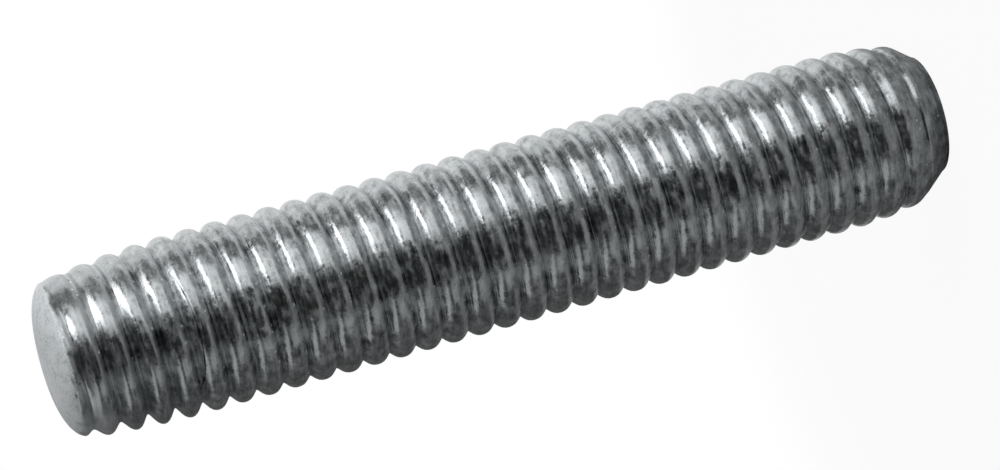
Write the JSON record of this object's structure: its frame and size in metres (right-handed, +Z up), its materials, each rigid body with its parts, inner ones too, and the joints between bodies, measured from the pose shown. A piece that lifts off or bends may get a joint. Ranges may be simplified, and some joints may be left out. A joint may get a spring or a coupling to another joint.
{
  "type": "threaded rod",
  "caption": "Short fully threaded steel rod with a coarse rounded right-hand thread, one domed end and one chamfered.",
  "frame": {"origin": "centre of the bottom end face, on which the rod stands", "axes": "+Z up along the rod's axis; +X and +Y across it, with the crest starting on the bottom face 29 degrees from +X towards +Y"},
  "size_m": [0.0098, 0.0098, 0.051],
  "materials": {
    "zinc_steel": "bright zinc plating, slightly mottled"
  },
  "bodies": {
    "root": {"threaded_rod": "zinc_steel"}
  },
  "joints": []
}
